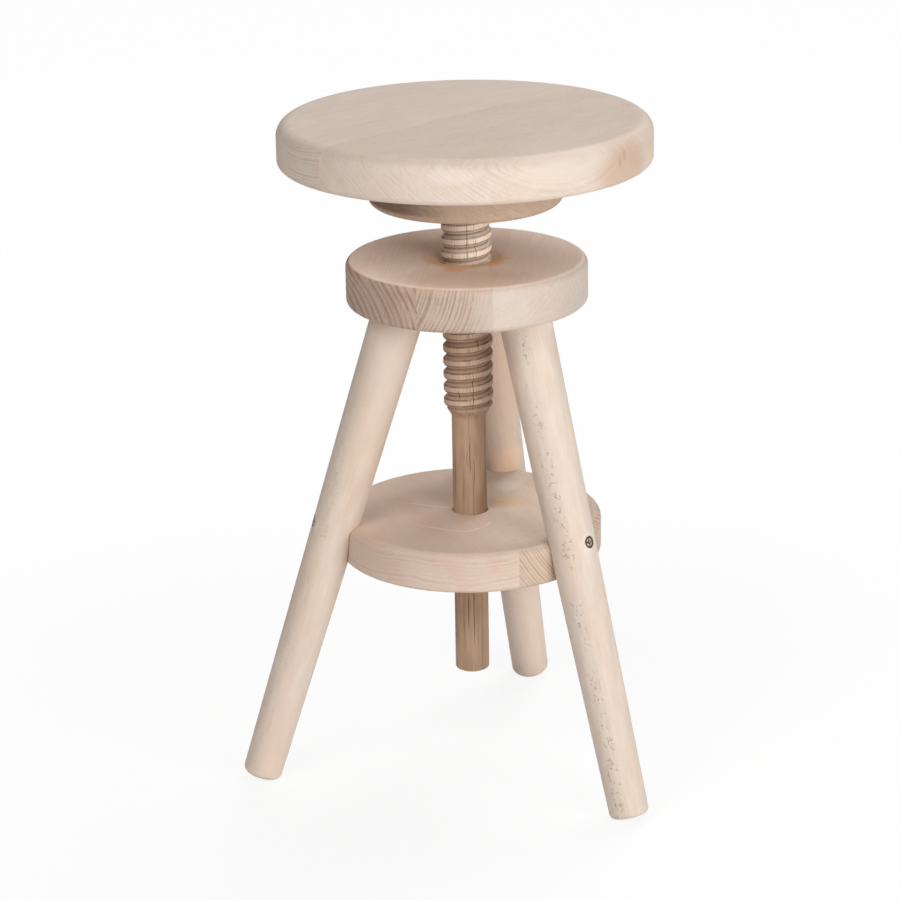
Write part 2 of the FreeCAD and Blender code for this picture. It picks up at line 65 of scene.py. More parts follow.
def weave(tree, operation, first, second=(0.0, 0.0, 0.0)):
    """A sum, product or length of vectors."""
    node = put(tree, "ShaderNodeVectorMath", {0: first, 1: second}, operation=operation)
    return node.outputs["Value" if operation in ("LENGTH", "DOT_PRODUCT") else "Vector"]


def object_place(tree):
    """Coordinates on the piece itself, in metres."""
    return put(tree, "ShaderNodeTexCoord").outputs["Object"]


def parts_of(tree, vector):
    """The X, Y and Z of a vector."""
    return put(tree, "ShaderNodeSeparateXYZ", {0: vector}).outputs


def stretched_noise(tree, vector, scales, detail=2.0, roughness=0.5):
    """Noise on coordinates in metres, with its own scale along each of the three axes."""
    scaled = weave(tree, "MULTIPLY", vector, scales)
    inputs = {"Vector": scaled, "Scale": 1.0, "Detail": detail, "Roughness": roughness}
    return put(tree, "ShaderNodeTexNoise", inputs).outputs["Fac"]


def noise_along(tree, count, scale, detail):
    """Noise that changes from ring to ring only."""
    inputs = {"W": count, "Scale": scale, "Detail": detail}
    return put(tree, "ShaderNodeTexNoise", inputs, noise_dimensions="1D").outputs["Fac"]


def blend(tree, factor, first, second, how="MIX"):
    """Mixes or multiplies two colours."""
    node = put(tree, "ShaderNodeMix", data_type="RGBA", blend_type=how)
    for index, value in ((0, factor), (6, first), (7, second)):
        if isinstance(value, bpy.types.NodeSocket):
            tree.links.new(value, node.inputs[index])
        else:
            node.inputs[index].default_value = value
    return node.outputs[2]


def new_group(name, sockets_in, sockets_out):
    """A shader node group with named inputs and outputs."""
    kinds = {"vector": "NodeSocketVector", "value": "NodeSocketFloat", "colour": "NodeSocketColor"}
    group = bpy.data.node_groups.new(name, "ShaderNodeTree")
    for label, kind in sockets_in:
        group.interface.new_socket(label, in_out="INPUT", socket_type=kinds[kind])
    for label, kind in sockets_out:
        group.interface.new_socket(label, in_out="OUTPUT", socket_type=kinds[kind])
    return group, group.nodes.new("NodeGroupInput").outputs, group.nodes.new("NodeGroupOutput").inputs


def beech_group():
    """Growth rings about a board's own pith, rays across them, fibres along them and soft tone."""
    group, given, result = new_group(
        "Beech figure",
        [("Vector", "vector"), ("Normal", "vector"), ("Ring Width", "value"), ("Wander", "value"),
         ("Flat Lines", "value"), ("Edge Lines", "value"), ("Line Mask", "value"), ("Tone", "value"),
         ("Fibre", "value"), ("Mottle", "value"), ("Rays", "value"), ("Blush", "value"),
         ("Shade", "value"), ("Edge Shade", "value"), ("End Shade", "value"), ("Pale", "colour"),
         ("Dark", "colour")],
        [("Color", "colour"), ("Roughness", "value"), ("Height", "value")],
    )
    grain = given["Vector"]
    place = parts_of(group, grain)
    across = put(group, "ShaderNodeCombineXYZ", {1: place[1], 2: place[2]}).outputs[0]
    reach = weave(group, "LENGTH", across)

    # Rings: the distance from the pith, made uneven along the board, counted in ring widths
    slow_scales = (3.0, 14.0, 14.0)
    quick_scales = (40.0, 130.0, 130.0)
    slow_share = 2.0
    quick_share = 0.16
    slow = stretched_noise(group, grain, slow_scales, detail=1.0)
    quick = stretched_noise(group, grain, quick_scales)
    quick_sway = times(group, centred(group, quick), quick_share)
    sway = times_plus(group, centred(group, slow), slow_share, quick_sway)
    count = calc(group, "DIVIDE", times_plus(group, sway, given["Wander"], reach), given["Ring Width"])
    uneven_scale = 0.31
    uneven_rings = 2.2
    count = times_plus(group, noise_along(group, count, uneven_scale, 1.0), uneven_rings, count)

    # Each ring darkens slowly and ends sharply, some rings more than others, with breaks
    part = calc(group, "FRACT", count)
    late_start = 0.40
    late_full = 0.90
    late = spread(group, part, late_start, late_full)
    late = times(group, late, spread(group, part, late_full, 1.0, 1.0, 0.0))
    faintest = 0.45
    ring_number = calc(group, "FLOOR", count)
    each = put(group, "ShaderNodeTexWhiteNoise", {"W": ring_number}, noise_dimensions="1D")
    late = times(group, late, times_plus(group, each.outputs["Value"], 1.0 - faintest, faintest))
    break_scales = (30.0, 60.0, 60.0)
    break_share = 0.35
    breaks = stretched_noise(group, grain, break_scales, detail=3.0)
    late = times(group, late, spread(group, breaks, 0.30, 0.62, break_share, 1.0))
    tone_scale = 0.11
    tone = noise_along(group, count, tone_scale, 2.0)

    # Rays: thin plates that run out from the pith, seen as streaks on the end and flecks on the side
    angle = calc(group, "ARCTAN2", place[2], place[1])
    arc = times(group, angle, reach)
    polar = put(group, "ShaderNodeCombineXYZ", {0: place[0], 1: reach, 2: arc}).outputs[0]
    ray_scales = (170.0, 120.0, 1100.0)
    rays = spread(group, stretched_noise(group, polar, ray_scales, detail=1.0), 0.54, 0.68)

    fibre_scales = (22.0, 700.0, 700.0)
    patch_scales = (5.0, 22.0, 22.0)
    fibre = stretched_noise(group, grain, fibre_scales, detail=3.0, roughness=0.65)
    patch = stretched_noise(group, grain, patch_scales)

    # Level faces show the rings faintly, turned edges show them clearly, and end grain is darker
    facing = parts_of(group, given["Normal"])
    level = spread(group, calc(group, "ABSOLUTE", facing[2]), 0.72, 0.97)
    end = spread(group, calc(group, "ABSOLUTE", facing[0]), 0.55, 0.98)
    more_when_level = calc(group, "SUBTRACT", given["Flat Lines"], given["Edge Lines"])
    lines = times_plus(group, level, more_when_level, given["Edge Lines"])
    lines = times(group, lines, given["Line Mask"])
    # Edge shade sets turned edges darker or lighter than level faces: partly the wood's own end grain, partly
    # painted shade for how the light falls on tops and rims
    edge = times(group, given["Edge Shade"], calc(group, "SUBTRACT", 1.0, level))

    # The share of the dark tone, from all of these
    patch_share = 0.25
    weight = times_plus(group, late, lines, given["Shade"])
    sources = ((tone, given["Tone"]), (fibre, given["Fibre"]), (quick, given["Mottle"]), (patch, patch_share))
    for source, amount in sources:
        weight = times_plus(group, centred(group, source), amount, weight)
    weight = times_plus(group, rays, given["Rays"], weight)
    weight = times_plus(group, end, given["End Shade"], calc(group, "ADD", weight, edge))
    weight = put(group, "ShaderNodeClamp", {0: weight}).outputs[0]
    colour = blend(group, weight, given["Pale"], given["Dark"])

    # Uneven warmth: pinkish and yellowish clouds, drawn out along the grain
    pinkish = ((9.0, 38.0, 38.0), (1.0, 0.90, 0.88, 1.0))
    yellowish = ((13.0, 50.0, 50.0), (1.0, 0.97, 0.90, 1.0))
    for scales, tint in (pinkish, yellowish):
        cloud = spread(group, stretched_noise(group, grain, scales, detail=3.0), 0.48, 0.66)
        colour = blend(group, times(group, cloud, given["Blush"]), colour, tint, how="MULTIPLY")
    smoothest = 0.55
    roughest = 0.70
    line_depth = -0.5
    group.links.new(colour, result["Color"])
    group.links.new(spread(group, fibre, 0.2, 0.8, smoothest, roughest), result["Roughness"])
    group.links.new(times_plus(group, late, line_depth, fibre), result["Height"])


def patch_group():
    """A ragged soft-edged patch of another colour about a centre, with its own size along each axis."""
    group, given, result = new_group(
        "Soft patch",
        [("Color", "colour"), ("Centre", "vector"), ("Size", "vector"), ("Tint", "colour"),
         ("Amount", "value"), ("Ragged", "value")],
        [("Color", "colour")],
    )
    spot = object_place(group)
    away = weave(group, "DIVIDE", weave(group, "SUBTRACT", spot, given["Centre"]), given["Size"])
    rough_scales = (90.0, 90.0, 90.0)
    full_within = 0.35
    rough = stretched_noise(group, spot, rough_scales, detail=3.0)
    reach = times_plus(group, centred(group, rough), given["Ragged"], weave(group, "LENGTH", away))
    mask = times(group, spread(group, reach, full_within, 1.0, 1.0, 0.0), given["Amount"])
    group.links.new(blend(group, mask, given["Color"], given["Tint"]), result["Color"])


def grain_frame(tree, along, up, pith):
    """Place and normal turned so that X runs along the grain, from a point on the pith, in metres."""
    along = Vector(along).normalized()
    across = Vector(up).cross(along).normalized()
    turn = Matrix((along, across, along.cross(across)))
    coordinates = put(tree, "ShaderNodeTexCoord").outputs
    place = {"Vector": coordinates["Object"], "Rotation": turn.to_euler("XYZ"),
             "Location": -(turn @ Vector(pith))}
    facing = {"Vector": coordinates["Normal"], "Rotation": turn.to_euler("XYZ")}
    return (put(tree, "ShaderNodeMapping", place).outputs[0],
            put(tree, "ShaderNodeMapping", facing, vector_type="VECTOR").outputs[0])


def in_board(azimuth, offset, height, dip=0.0):
    """Grain direction, upward direction and pith of a board.

    The grain runs at an azimuth and dip in degrees. The pith passes the spindle's axis at an
    offset to the left of the grain's direction and at a height above the floor, in metres.
    """
    turn = math.radians(azimuth)
    along = Vector((math.cos(turn), math.sin(turn), math.tan(math.radians(dip))))
    pith = Vector((-math.sin(turn), math.cos(turn), 0.0)) * offset + Vector((0.0, 0.0, height))
    return along, Vector((0.0, 0.0, 1.0)), pith


USUAL_BEECH = {
    "Ring Width": 0.003, "Wander": 0.006, "Flat Lines": 0.2, "Edge Lines": 0.6, "Line Mask": 1.0,
    "Tone": 0.3, "Fibre": 0.5, "Mottle": 0.3, "Rays": 0.1, "Blush": 0.4, "Shade": 0.3,
    "Edge Shade": 0.0, "End Shade": 0.0,
}
GRAIN_DEPTH = 0.00012
GRAIN_STRENGTH = 0.6
BARE_WOOD_GLOSS = 0.35


def beech(name, grain, pale, dark, **values):
    """A beech material for one piece, with the shared figure and that piece's own values."""
    material = bpy.data.materials.new(name)
    material.use_nodes = True
    tree = material.node_tree
    shader = tree.nodes["Principled BSDF"]
    figure = put(tree, "ShaderNodeGroup", node_tree=bpy.data.node_groups["Beech figure"])
    place, facing = grain_frame(tree, *grain)
    tree.links.new(place, figure.inputs["Vector"])
    tree.links.new(facing, figure.inputs["Normal"])
    own = {key.replace("_", " ").title(): value for key, value in values.items()}
    for key, value in {**USUAL_BEECH, **own}.items():
        figure.inputs[key].default_value = value
    figure.inputs["Pale"].default_value = (*pale, 1.0)
    figure.inputs["Dark"].default_value = (*dark, 1.0)
    relief = {"Height": figure.outputs["Height"], "Strength": GRAIN_STRENGTH, "Distance": GRAIN_DEPTH}
    tree.links.new(put(tree, "ShaderNodeBump", relief).outputs[0], shader.inputs["Normal"])
    tree.links.new(figure.outputs["Color"], shader.inputs["Base Color"])
    tree.links.new(figure.outputs["Roughness"], shader.inputs["Roughness"])
    shader.inputs["Specular IOR Level"].default_value = BARE_WOOD_GLOSS
    return material


def colour_of(material):
    """The socket that gives a material its colour now, and the socket that takes it."""
    taker = material.node_tree.nodes["Principled BSDF"].inputs["Base Color"]
    return taker.links[0].from_socket, taker


def add_patch(material, centre, size, tint, amount, ragged=0.5):
    """Lays a soft patch over a material's colour; centre and size are in metres."""
    given, taker = colour_of(material)
    tree = material.node_tree
    patch = put(tree, "ShaderNodeGroup", node_tree=bpy.data.node_groups["Soft patch"])
    tree.links.new(given, patch.inputs["Color"])
    values = {"Centre": centre, "Size": size, "Tint": (*tint, 1.0), "Amount": amount, "Ragged": ragged}
    for key, value in values.items():
        patch.inputs[key].default_value = value
    tree.links.new(patch.outputs[0], taker)


def tint_where(material, mask, tint):
    """Mixes a tint into a material's colour where a mask says."""
    given, taker = colour_of(material)
    material.node_tree.links.new(blend(material.node_tree, mask, given, (*tint, 1.0)), taker)


def finish_with(piece, material):
    """Gives a piece one material in place of its own."""
    piece.data.materials.clear()
    piece.data.materials.append(material)


beech_group()
patch_group()
SEAT_GRAIN = 45.0
SEAT_RING = 0.0024
FRONT_PALE = (0.70, 0.595, 0.51)
REAR_PALE = (0.715, 0.61, 0.53)
DARK = (0.50, 0.39, 0.31)
DARK_MARK = (0.42, 0.29, 0.22)
# The negative edge shade paints the front board's top darker than its rounded rim: painted shade, for light
# that falls mostly from the front
front_beech = beech(
    "Top front board beech", in_board(SEAT_GRAIN, offset=0.24, height=0.33, dip=24.0), FRONT_PALE, DARK,
    ring_width=SEAT_RING, wander=0.005, flat_lines=0.02, edge_lines=0.44, tone=0.2, rays=-0.16,
    blush=0.35, shade=0.40, edge_shade=-0.14)

# Patches: centre and size along each axis in metres, then tint, amount and raggedness
FRONT_PATCHES = {
    "tan right end": ((0.140, -0.098, 0.582), (0.052, 0.052, 0.036), (0.55, 0.39, 0.285), 0.78),
    "warm rounding": ((0.070, -0.150, 0.590), (0.045, 0.040, 0.016), (0.68, 0.595, 0.475), 0.45),
    "lower mark": ((0.1305, -0.1008, 0.5885), (0.0030, 0.0030, 0.0080), DARK_MARK, 0.50, 0.9),
    "upper mark": ((0.1345, -0.0955, 0.5940), (0.0034, 0.0034, 0.0070), DARK_MARK, 0.50, 0.9),
    "calmer lines": ((0.085, -0.133, 0.600), (0.060, 0.048, 0.024), (0.665, 0.565, 0.48), 0.76),
    # A painted highlight on the front rounding
    "painted highlight spot": ((-0.010, -0.165, 0.594), (0.026, 0.030, 0.010), (0.78, 0.68, 0.63), 0.35),
}
for values in FRONT_PATCHES.values():
    add_patch(front_beech, *values)
finish_with(pieces["seat_board_front"], front_beech)
finish_with(pieces["seat_board_rear"], beech(
    "Top rear board beech", in_board(SEAT_GRAIN, offset=0.05, height=0.85), REAR_PALE, DARK,
    ring_width=SEAT_RING, wander=0.007, flat_lines=0.02, edge_lines=0.66, tone=0.2, rays=-0.08, blush=0.3))

# Mounting plate
# A smaller beech disc with a rounded lower edge, screwed up against the seat. The spindle's
# tenon is glued into it from below. Its left front, where the end grain shows, is much darker:
# partly end grain, partly painted shade from the seat above.
PLATE_PALE = (0.53, 0.38, 0.28)
PLATE_DARK = (0.22, 0.13, 0.085)
finish_with(pieces["seat_plate"], beech(
    "Plate beech", in_board(215.0, offset=0.03, height=0.70, dip=30.0), PLATE_PALE, PLATE_DARK,
    ring_width=0.0034, edge_lines=0.13, mottle=0.15, rays=-0.22, shade=0.17, end_shade=0.95))


# Spindle
# One turned piece, a little browner than the rest: a tenon, a coarse thread and a plain shaft.
# It is darker in the thread's root and along its edges, partly dirt and torn fibres and partly
# painted shade, lighter under the seat with painted light, and has fine drying cracks along the grain.
def crack_group():
    """A dark split along the Z axis at an azimuth in degrees, between two heights in metres."""
    group, given, result = new_group(
        "Drying crack",
        [("Azimuth", "value"), ("Low", "value"), ("High", "value"), ("Width", "value")],
        [("Mask", "value")],
    )
    spot = object_place(group)
    place = parts_of(group, spot)
    turn = calc(group, "RADIANS", given["Azimuth"])
    sine = calc(group, "SINE", turn)
    cosine = calc(group, "COSINE", turn)
    side = calc(group, "SUBTRACT", times(group, place[0], sine), times(group, place[1], cosine))
    front = calc(group, "ADD", times(group, place[0], cosine), times(group, place[1], sine))
    wobble_scales = (20.0, 20.0, 140.0)
    wobble_reach = 0.0016
    wobble = stretched_noise(group, spot, wobble_scales)
    side = times_plus(group, centred(group, wobble), wobble_reach, side)

    # The split is widest in the middle of its length and thins out to both ends
    middle = times(group, calc(group, "ADD", given["Low"], given["High"]), 0.5)
    half = times(group, calc(group, "SUBTRACT", given["High"], given["Low"]), 0.5)
    along = calc(group, "DIVIDE", calc(group, "ABSOLUTE", calc(group, "SUBTRACT", place[2], middle)), half)
    thinnest = 0.05
    width = times(group, given["Width"], spread(group, along, 0.4, 1.0, 1.0, thinnest))
    near = calc(group, "DIVIDE", calc(group, "ABSOLUTE", side), width)
    mask = times(group, spread(group, near, 0.5, 1.3, 1.0, 0.0), spread(group, along, 0.9, 1.0, 1.0, 0.0))
    front_depth = 0.005
    group.links.new(times(group, mask, spread(group, front, 0.0, front_depth)), result["Mask"])


crack_group()
SPINDLE_GRAIN = ((0.0, 0.0, 1.0), (0.0, 1.0, 0.0), (0.05, 0.02, 0.0))
SPINDLE_PALE = (0.52, 0.355, 0.245)
SPINDLE_DARK = (0.27, 0.165, 0.10)
spindle_beech = beech(
    "Spindle beech", SPINDLE_GRAIN, SPINDLE_PALE, SPINDLE_DARK, wander=0.004, flat_lines=0.12,
    edge_lines=0.12, tone=0.5, fibre=0.8, rays=0.0, blush=0.5)
spindle_tree = spindle_beech.node_tree
spindle_spot = object_place(spindle_tree)
spindle_place = parts_of(spindle_tree, spindle_spot)
round_place = put(spindle_tree, "ShaderNodeCombineXYZ", {0: spindle_place[0], 1: spindle_place[1]})
from_axis = weave(spindle_tree, "LENGTH", round_place.outputs[0])

# The thread is paler than the shaft. Under the seat it is paler still: painted light, for light that the seat
# keeps off it. Heights in metres
THREAD_START = 0.330
THREAD_FULL = 0.350
LIGHT_START = 0.440
LIGHT_FULL = 0.490
in_thread = spread(spindle_tree, spindle_place[2], THREAD_START, THREAD_FULL)
painted_light_near_seat = spread(spindle_tree, spindle_place[2], LIGHT_START, LIGHT_FULL)
tint_where(spindle_beech, times(spindle_tree, in_thread, 0.40), (0.80, 0.62, 0.48))
# Painted light near the seat
tint_where(spindle_beech, times(spindle_tree, painted_light_near_seat, 0.90), (0.99, 0.84, 0.71))

# Darker flanks of end grain, and a darker root and edge line, by the distance from the axis. The root is
# partly dirt and partly painted shade in the groove; the edge line is partly torn fibres and partly painted
# shade under each crest
THREAD_ROOT = 0.0190
THREAD_EDGE = 0.0218
EDGE_HALF = 0.0005
FLANK_TINT = (0.30, 0.19, 0.125)
GROOVE_TINT = (0.16, 0.095, 0.06)
below_edge = spread(spindle_tree, from_axis, THREAD_EDGE, THREAD_EDGE + EDGE_HALF, 1.0, 0.0)
flank = times(spindle_tree, in_thread, below_edge)
tint_where(spindle_beech, times(spindle_tree, flank, 0.35), FLANK_TINT)
# Painted shade and dirt in the thread's root
root = spread(spindle_tree, from_axis, THREAD_ROOT, THREAD_ROOT + 2.0 * EDGE_HALF, 1.0, 0.0)
tint_where(spindle_beech, times(spindle_tree, times(spindle_tree, root, in_thread), 0.6), GROOVE_TINT)
# Painted shade and torn fibres along the crest edges
from_edge = calc(spindle_tree, "ABSOLUTE", calc(spindle_tree, "SUBTRACT", from_axis, THREAD_EDGE))
torn_and_shaded = stretched_noise(spindle_tree, spindle_spot, (160.0, 160.0, 160.0))
torn_and_shaded = spread(spindle_tree, torn_and_shaded, 0.30, 0.60, 0.35, 0.85)
edge_line = times(spindle_tree, torn_and_shaded, spread(spindle_tree, from_edge, 0.5 * EDGE_HALF, EDGE_HALF, 1.0, 0.0))
edge_line = times(spindle_tree, edge_line, times_plus(spindle_tree, painted_light_near_seat, -0.35, 1.0))
tint_where(spindle_beech, times(spindle_tree, edge_line, in_thread), GROOVE_TINT)

# Dark streaks and clouds along the grain, weaker on the thread
STREAK_SCALES = (520.0, 520.0, 10.0)
STREAK_TINT = (0.25, 0.145, 0.085)
BLOTCH_SCALES = (90.0, 90.0, 22.0)
BLOTCH_TINT = (0.30, 0.175, 0.105)
streak = stretched_noise(spindle_tree, spindle_spot, STREAK_SCALES, detail=3.0)
streak = spread(spindle_tree, streak, 0.53, 0.70)
streak = times(spindle_tree, streak, times_plus(spindle_tree, in_thread, -0.40, 0.80))
tint_where(spindle_beech, streak, STREAK_TINT)
blotch = stretched_noise(spindle_tree, spindle_spot, BLOTCH_SCALES, detail=3.0)
blotch = spread(spindle_tree, blotch, 0.50, 0.66)
blotch = times(spindle_tree, blotch, times_plus(spindle_tree, in_thread, -0.30, 0.42))
tint_where(spindle_beech, blotch, BLOTCH_TINT)

# Cracks: azimuth in degrees, lower and upper height and half width in metres
CRACK_TINT = (0.07, 0.04, 0.025)
SPINDLE_CRACKS = (
    (278.0, 0.112, 0.196, 0.00040), (258.0, 0.128, 0.170, 0.00030), (271.0, 0.478, 0.524, 0.00022),
    (292.0, 0.480, 0.506, 0.00025), (294.0, 0.398, 0.413, 0.00040), (281.0, 0.338, 0.382, 0.00035),
    (245.0, 0.352, 0.364, 0.00035), (272.0, 0.278, 0.322, 0.00040), (285.0, 0.270, 0.300, 0.00025),
    (262.0, 0.286, 0.306, 0.00020), (100.0, 0.380, 0.500, 0.00040), (170.0, 0.120, 0.300, 0.00035),
)
for crack_values in SPINDLE_CRACKS:
    crack = put(spindle_tree, "ShaderNodeGroup", node_tree=bpy.data.node_groups["Drying crack"])
    for key, value in zip(("Azimuth", "Low", "High", "Width"), crack_values):
        crack.inputs[key].default_value = value
    tint_where(spindle_beech, crack.outputs[0], CRACK_TINT)
finish_with(pieces["spindle"], spindle_beech)

# Threaded disc
# Three beech boards glued edge to edge, nearly end on to the viewer, turned, bored and tapped
# for the spindle. The top is stained orange round the worn mouth of the bore.
UPPER_GRAIN = 84.0
# Very pale colours with a large edge shade paint the tops light against darker rims: painted light on the
# tops, for light that the seat keeps off them, and partly end grain on the rims
left_beech = beech(
    "Threaded disc left board beech", in_board(UPPER_GRAIN, offset=0.120, height=0.430),
    (0.96, 0.80, 0.69), (0.33, 0.21, 0.15), ring_width=0.0058, wander=0.004, flat_lines=0.02,
    edge_lines=0.40, tone=0.15, fibre=0.3, mottle=0.1, shade=0.08, edge_shade=0.71)
middle_beech = beech(
    "Threaded disc middle board beech", in_board(UPPER_GRAIN, offset=0.105, height=0.495),
    (0.93, 0.775, 0.665), (0.35, 0.25, 0.185), ring_width=0.0034, wander=0.003, flat_lines=0.02,
    edge_lines=0.50, tone=0.15, fibre=0.3, mottle=0.1, shade=0.12, edge_shade=0.64)
right_beech = beech(
    "Threaded disc right board beech", in_board(UPPER_GRAIN, offset=0.05, height=0.60),
    (0.935, 0.79, 0.685), (0.47, 0.41, 0.35), ring_width=0.0035, flat_lines=0.02, edge_lines=0.07,
    tone=0.15, fibre=0.35, mottle=0.1, shade=0.10, edge_shade=0.67, rays=0.06)

# The middle board's rim pales and its lines fade towards the right board
FADED_RIM = (0.57, 0.485, 0.41)
middle_tree = middle_beech.node_tree
middle_figure = next(node for node in middle_tree.nodes if node.type == "GROUP")
middle_place = put(middle_tree, "ShaderNodeTexCoord").outputs
across_disc = parts_of(middle_tree, middle_place["Object"])[0]
line_fade = spread(middle_tree, across_disc, -0.010, 0.030, 1.0, 0.35)
middle_tree.links.new(line_fade, middle_figure.inputs["Line Mask"])
upright = calc(middle_tree, "ABSOLUTE", parts_of(middle_tree, middle_place["Normal"])[2])
on_rim = spread(middle_tree, upright, 0.5, 0.9, 0.80, 0.0)
rim_fade = times(middle_tree, on_rim, spread(middle_tree, across_disc, -0.012, 0.034))
tint_where(middle_beech, rim_fade, FADED_RIM)

# The stain lies round the bore, ragged and mostly in front of the spindle
STAIN = (0.80, 0.46, 0.235)
STAIN_FULL = 0.032
STAIN_EDGE = 0.043
STAIN_RAGGED = 0.014
for disc_beech in (left_beech, middle_beech, right_beech):
    disc_tree = disc_beech.node_tree
    disc_spot = object_place(disc_tree)
    disc_place = parts_of(disc_tree, disc_spot)
    flat_place = put(disc_tree, "ShaderNodeCombineXYZ", {0: disc_place[0], 1: disc_place[1]})
    from_bore = weave(disc_tree, "LENGTH", flat_place.outputs[0])
    ragged = stretched_noise(disc_tree, disc_spot, (110.0, 110.0, 110.0), detail=3.0)
    from_bore = times_plus(disc_tree, centred(disc_tree, ragged), STAIN_RAGGED, from_bore)
    soaked = spread(disc_tree, from_bore, STAIN_FULL, STAIN_EDGE, 0.95, 0.0)
    in_front = spread(disc_tree, disc_place[1], -0.020, 0.010, 1.0, 0.20)
    tint_where(disc_beech, times(disc_tree, soaked, in_front), STAIN)
    add_patch(disc_beech, (-0.002, -0.010, 0.480), (0.046, 0.040, 0.012), (0.62, 0.44, 0.31), 0.35, 0.35)
    add_patch(disc_beech, (0.0, -0.075, 0.480), (0.085, 0.045, 0.012), (0.64, 0.465, 0.345), 0.55)
MIDDLE_PATCHES = {
    "orange blot": ((-0.010, -0.040, 0.480), (0.016, 0.014, 0.010), (0.82, 0.47, 0.24), 0.85, 0.4),
    "dark chip": ((-0.021, -0.014, 0.479), (0.005, 0.004, 0.005), (0.05, 0.03, 0.02), 0.90, 0.3),
}
for values in MIDDLE_PATCHES.values():
    add_patch(middle_beech, *values)
finish_with(pieces["upper_board_left"], left_beech)
finish_with(pieces["upper_board_middle"], middle_beech)
finish_with(pieces["upper_board_right"], right_beech)


# Legs
# Three turned and tapered beech bars with rounded feet, tenoned up into the threaded disc.
# They splay outwards, each leaning a little to one side. The wood has pinkish clouds,
# and a band of fine worm-like flecks runs down the right leg and, fainter, the left one.
def fleck_group():
    """A mask of short thin arcs and dots in a band along a leg, whose grain is the vector's X axis."""
    group, given, result = new_group(
        "Worm flecks",
        [("Vector", "vector"), ("Side", "value"), ("Band", "value"), ("Share", "value")],
        [("Mask", "value")],
    )
    grain = given["Vector"]
    place = parts_of(group, grain)

    # The band wanders sideways, and lies on the leg's front half only
    band_scales = (12.0, 12.0, 12.0)
    band_wander = 0.010
    bent = stretched_noise(group, grain, band_scales, detail=1.0)
    shift = times_plus(group, centred(group, bent), band_wander, given["Side"])
    off = calc(group, "ABSOLUTE", calc(group, "SUBTRACT", place[1], shift))
    band = spread(group, calc(group, "DIVIDE", off, given["Band"]), 0.5, 1.0, 1.0, 0.0)
    band = times(group, band, spread(group, place[2], -0.004, 0.0, 1.0, 0.0))

    # Thin crooked walls between small cells, kept only here and there
    jolt_reach = (0.004, 0.004, 0.004)
    cell_scales = (150.0, 260.0, 260.0)
    jolt = put(group, "ShaderNodeTexNoise", {"Vector": grain, "Scale": 420.0, "Detail": 2.0}).outputs[1]
    moved = weave(group, "ADD", grain, weave(group, "MULTIPLY", jolt, jolt_reach))
    scaled = weave(group, "MULTIPLY", moved, cell_scales)
    cells = put(group, "ShaderNodeTexVoronoi", {"Vector": scaled, "Scale": 1.0}, feature="DISTANCE_TO_EDGE")
    thin = spread(group, cells.outputs["Distance"], 0.035, 0.085, 1.0, 0.0)
    pick = stretched_noise(group, grain, (210.0, 320.0, 320.0), detail=1.0)
    bare = stretched_noise(group, grain, (28.0, 28.0, 28.0), detail=1.0)
    some = times(group, spread(group, pick, 0.53, 0.58), spread(group, bare, 0.38, 0.48))
    mask = times(group, times(group, thin, some), band)
    group.links.new(times(group, mask, given["Share"]), result["Mask"])


fleck_group()
LEG_AZIMUTHS = {"leg_left": 200.6, "leg_right": 320.6, "leg_back": 80.6}
LEG_TOP_RADIUS = 0.0636
LEG_TOP_HEIGHT = 0.441
LEG_SPLAY = math.radians(17.54)
LEG_LEAN_TURN = -10.55
LEG_PITH_AWAY = 0.05
LEG_FINISH = {
    "leg_left": {"pale": (0.71, 0.60, 0.51), "blush": 0.80, "side": -0.012, "flecks": 0.30},
    "leg_right": {"pale": (0.73, 0.625, 0.535), "blush": 0.55, "side": -0.006, "flecks": 0.62},
    "leg_back": {"pale": (0.68, 0.56, 0.46), "blush": 0.50, "side": 0.0, "flecks": 0.0},
}
FLECK_BAND = 0.0068
FLECK_TINT = (0.30, 0.21, 0.15)
LEG_PATCHES = {
    "back leg, amber over the disc": (
        "leg_back", (0.036, 0.103, 0.257), (0.024, 0.022, 0.024), (0.80, 0.55, 0.37), 0.55),
    # Painted shade at the left leg's top and painted light at the feet, evening out how the light falls down
    # the legs
    "left leg, painted shade at top": (
        "leg_left", (-0.090, -0.020, 0.400), (0.080, 0.080, 0.120), (0.58, 0.47, 0.39), 0.58),
    "left leg, painted light at foot": (
        "leg_left", (-0.190, -0.050, 0.050), (0.090, 0.080, 0.120), (0.82, 0.69, 0.59), 0.25),
    "back leg, painted light at foot": (
        "leg_back", (0.053, 0.180, 0.060), (0.060, 0.060, 0.110), (0.85, 0.69, 0.60), 0.40),
    "back leg, brown top": (
        "leg_back", (0.025, 0.090, 0.370), (0.040, 0.040, 0.090), (0.56, 0.40, 0.30), 0.68),
    "right leg, pale round the screw": (
        "leg_right", (0.1038, -0.1011, 0.2474), (0.013, 0.013, 0.013), (0.82, 0.74, 0.66), 0.28, 0.2),
}
leg_beech = {}
